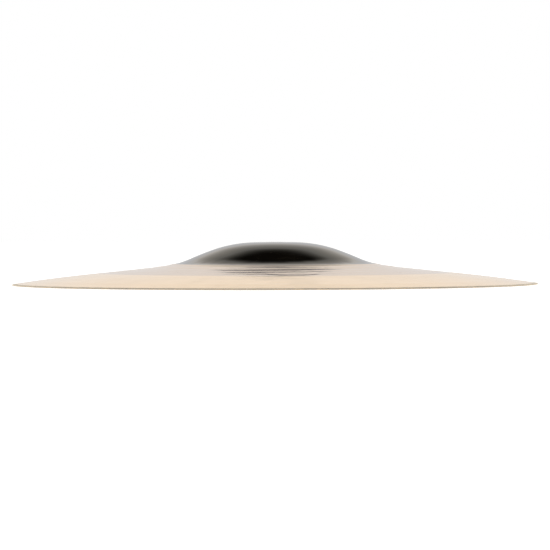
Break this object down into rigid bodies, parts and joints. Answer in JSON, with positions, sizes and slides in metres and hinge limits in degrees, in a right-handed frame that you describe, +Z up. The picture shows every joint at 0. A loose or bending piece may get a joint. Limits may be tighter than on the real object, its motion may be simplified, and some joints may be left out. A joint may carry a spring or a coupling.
{
  "type": "crash cymbal",
  "caption": "Thin round bronze cymbal with a wide shallow bow, a domed bell with a level crown, and a hole for a stand's rod through its centre.",
  "frame": {"origin": "centre of the circle that the rim rests on, on the axis of the centre hole", "axes": "+Z up along the axis of the centre hole, from the rim towards the crown of the bell; the cymbal is turned about it, so X and Y are any two directions across the rim"},
  "size_m": [0.4064, 0.4064, 0.0326],
  "materials": {
    "polished_bronze": "polished"
  },
  "bodies": {
    "root": {"cymbal": "polished_bronze"}
  },
  "joints": []
}
